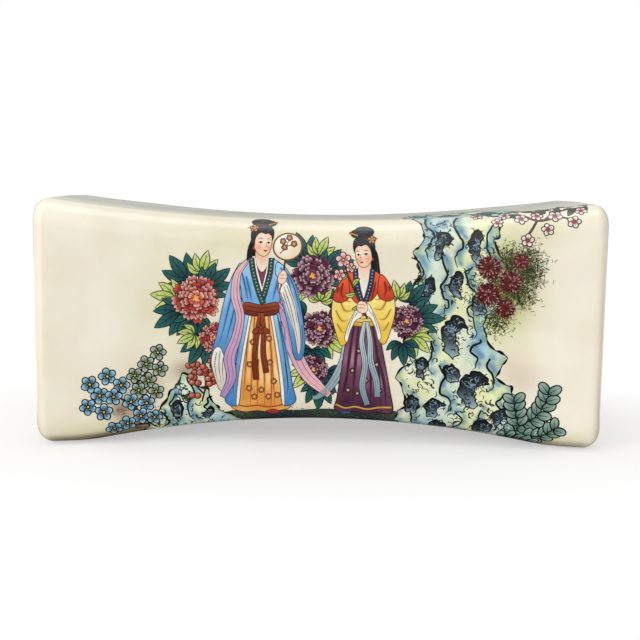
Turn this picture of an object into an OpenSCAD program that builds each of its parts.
// Waisted ceramic pillow, slab built: four long clay slabs with mitred edges make a
// square tube that draws in at mid-length, and two end slabs close it.
// The origin is on the floor, under the middle. +X runs along the length, +Z is up,
// and the picture face looks along -Y.

/* [Body] */
// Length over the crowned ends
body_l = 300; // [240:1:400]
// Height at the ends
body_h = 129; // [100:1:180]
// Depth at the ends, front to back
body_d = 118; // [100:1:180]
// Thickness of the four long slabs
wall_t = 8; // [5:0.5:12]
// Radius of the four long edges, outside
edge_r = 13; // [6:0.5:18]

/* [Waist] */
// How far the top dips at mid-length
top_dip = 10.5; // [4:0.5:16]
// How far the base arches up at mid-length
base_arch = 11; // [4:0.5:16]
// How far the front and the back each draw in at mid-length
side_draw = 15; // [4:0.5:20]
// Length of the flat foot under each end of the base slab
foot_l = 10; // [6:0.5:20]
// Length over which the base's arch eases out into each foot
foot_ease = 16; // [8:1:40]

/* [Ends] */
// Thickness of an end slab at the middle of its face
end_t = 10; // [8:0.5:16]
// How far the middle of an end face stands out past its edge
end_crown = 1.5; // [0.5:0.1:3]
// Radius of the edge round an end face
end_edge_r = 8.5; // [3:0.5:10]
// Diameter of the firing vent in the right end
vent_d = 9; // [5:0.5:16]

/* [Seams] */
// How far an inside clay coil runs along each wall, past the seam's round
coil_reach = 4; // [2:0.5:8]
// Thickness of a coil between the seam's round and its pressed face
coil_t = 3; // [2:0.5:6]

/* [Smoothness] */
// Steps in half of a long edge's quarter round
arc_steps = 4; // [2:1:6]
// Steps along the waist
waist_steps = 28; // [16:2:40]

/* [Hidden] */

glaze_cream = [0.92, 0.89, 0.80];
biscuit_buff = [0.83, 0.76, 0.66];

// The four long slabs and the four long edges, in order round the section
SLABS = ["top", "front", "base", "back"];
EDGES = ["top_back", "top_front", "base_front", "base_back"];

// The long slabs stop at the seam planes, and the end slabs start there
seam_x = body_l / 2 - end_t;
// The base's arch runs to arc_x, and has eased out into the foot at foot_x
foot_x = seam_x - foot_l;
arc_x = foot_x - foot_ease;
// An end edge's round stays inside the end slab
end_r = min(end_edge_r, end_t - end_crown);
// A wall thicker than the edge's radius still leaves a small round inside
least_inside_r = 2;
inside_r = max(edge_r - wall_t, least_inside_r);
dome_steps = 4;
edge_steps = 6;
// The crown ends in a small flat, at this share of the face's size
crown_flat = 0.15;
// The round meets the crowned face at the face's own slope
edge_turn = 90 - atan(2 * end_crown / (body_d / 2 - end_r));
vent_clearance = 1;

// Leg of a coil along each wall, from the inside corner
coil_leg = inside_r + coil_reach;
// Stations along the length, with one at each end of the left end's coil
coil_x = seam_x - coil_leg;
stations = concat(
    [-seam_x],
    [for (i = [0 : waist_steps]) coil_x * (2 * i / waist_steps - 1)],
    [seam_x]
);

// Share of the full dip or draw at x: 1 at mid-length and 0 at the seam planes, from
// where the flare runs on into the end slabs
function flare(x) = 1 - x * x / (seam_x * seam_x);

// Share of the base's full arch at x: 1 at mid-length and 0 on the feet
function arch(x) =
    let (far = abs(x))
    far <= arc_x ? 1 - far * far / (arc_x * foot_x)
    : far < foot_x ? pow(foot_x - far, 2) / (foot_ease * foot_x)
    : 0;

// Half depth, top and base of the section at x, drawn in by inset from the outside
function half_depth(x, inset) = body_d / 2 - side_draw * flare(x) - inset;
function top_z(x, inset) = body_h - top_dip * flare(x) - inset;
function base_z(x, inset) = base_arch * arch(x) + inset;
function corner_r(inset) = inset < edge_r - inside_r ? edge_r - inset : inside_r;

// Which way a long edge lies from the middle of the section, as signs of Y and Z
function edge_side(edge) = [edge == 0 || edge == 3 ? 1 : -1, edge < 2 ? 1 : -1];

// Centre of a long edge's round
function edge_centre(edge, x, inset) =
    let (r = corner_r(inset), side = edge_side(edge))
    [
        x,
        side.x * (half_depth(x, inset) - r),
        side.y > 0 ? top_z(x, inset) - r : base_z(x, inset) + r
    ];

function edge_point(edge, angle, x, inset) =
    edge_centre(edge, x, inset) + corner_r(inset) * [0, cos(angle), sin(angle)];

// One slab's run across the section, from the mitre on one edge to the mitre on the next
function slab_run(slab, x, inset) =
    let (next = (slab + 1) % 4, step = 45 / arc_steps)
    concat(
        [for (i = [0 : arc_steps]) edge_point(slab, 90 * slab + 45 + i * step, x, inset)],
        [for (i = [0 : arc_steps]) edge_point(next, 90 * slab + 90 + i * step, x, inset)]
    );

// The whole section as one closed ring
function ring(x, inset) =
    [for (slab = [0 : 3], i = [0 : 2 * arc_steps]) slab_run(slab, x, inset)[i]];

function reversed(list) = [for (i = [len(list) - 1 : -1 : 0]) list[i]];

// A slab's section: its outside run, then its inside run on the way back
function slab_section(slab, x) =
    concat(slab_run(slab, x, 0), reversed(slab_run(slab, x, wall_t)));

// A coil's section in an inside corner: along both walls, then the pressed face
function coil_section(edge, x) =
    let (
        start = 90 * edge,
        step = 45 / arc_steps,
        middle = start + 45
    )
    concat(
        [edge_point(edge, start, x, wall_t) - coil_reach * [0, -sin(start), cos(start)]],
        [for (i = [0 : 2 * arc_steps]) edge_point(edge, start + i * step, x, wall_t)],
        [edge_point(edge, start + 90, x, wall_t) + coil_reach * [0, -cos(start), -sin(start)]],
        [edge_point(edge, middle, x, wall_t) - coil_t * [0, cos(middle), sin(middle)]]
    );

// A ring of the end face's crown, drawn in from its edge to that share of its size
function crown_ring(share) =
    let (edge_x = body_l / 2 - end_crown, middle = [0, 0, body_h / 2])
    [
        for (p = ring(edge_x, end_r))
            middle + share * ([0, p.y, p.z] - middle)
            + [edge_x + end_crown * (1 - share * share) / (1 - crown_flat * crown_flat), 0, 0]
    ];

// The end slab's rings, from its seam, over its rounded edge and in over its crown
function end_rings() =
    concat(
        end_r + end_crown < end_t ? [ring(seam_x, 0)] : [],
        [
            for (i = [0 : edge_steps])
                let (turn = edge_turn * i / edge_steps)
                ring(
                    body_l / 2 - end_crown - end_r + end_r * sin(turn) / sin(edge_turn),
                    end_r * (1 - cos(turn)) / (1 - cos(edge_turn))
                )
        ],
        [for (i = [1 : dome_steps]) crown_ring(1 - (1 - crown_flat) * i / dome_steps)]
    );

// Closed solid through sections of equal length, in order along +X
module loft(sections) {
    count = len(sections[0]);
    last = len(sections) - 1;
    polyhedron(
        points = [for (section = sections) each section],
        faces = concat(
            [[for (i = [0 : count - 1]) i]],
            [
                for (s = [0 : last - 1], i = [0 : count - 1])
                    let (a = s * count + i, b = s * count + (i + 1) % count)
                    [a, a + count, b + count, b]
            ],
            [[for (i = [count - 1 : -1 : 0]) last * count + i]]
        )
    );
}

// One of the four long slabs, its edges mitred through the corners
module long_slab(name) {
    slab = search([name], SLABS)[0];
    color(glaze_cream) loft([for (x = stations) slab_section(slab, x)]);
}

// An end slab with rounded edges and a crowned face, butted on the four long slabs
module end_slab() {
    color(glaze_cream) loft(end_rings());
}

// The right end, luted on last, with the vent that lets steam out in the firing
module vented_end_slab() {
    color(glaze_cream)
        difference() {
            end_slab();
            translate([seam_x - vent_clearance, 0, body_h / 2])
                rotate([0, 90, 0])
                    cylinder(d = vent_d, h = end_t + 2 * vent_clearance, $fn = 48);
        }
}

// A clay coil along one inside edge. It starts past the left end's coil.
module long_coil(name) {
    edge = search([name], EDGES)[0];
    color(biscuit_buff) loft([for (x = stations) if (x > -seam_x) coil_section(edge, x)]);
}

// The coil round the inside of the left end, pressed in while the right end is open
module end_coil() {
    at_end = ring(-seam_x, wall_t);
    on_walls = ring(-coil_x, wall_t);
    on_end = ring(-seam_x, wall_t + coil_leg);
    count = len(at_end);
    color(biscuit_buff)
        polyhedron(
            points = concat(at_end, on_walls, on_end),
            faces = [
                for (band = [0 : 2], i = [0 : count - 1])
                    let (next = (i + 1) % count, other = (band + 1) % 3)
                    [band * count + i, other * count + i, other * count + next, band * count + next]
            ]
        );
}

long_slab("top");  // top_slab
long_slab("front");  // front_slab
long_slab("base");  // base_slab
long_slab("back");  // back_slab
mirror([1, 0, 0]) end_slab();  // left_end_slab
vented_end_slab();  // right_end_slab
long_coil("top_back");  // top_back_coil
long_coil("top_front");  // top_front_coil
long_coil("base_front");  // base_front_coil
long_coil("base_back");  // base_back_coil
end_coil();  // left_end_coil
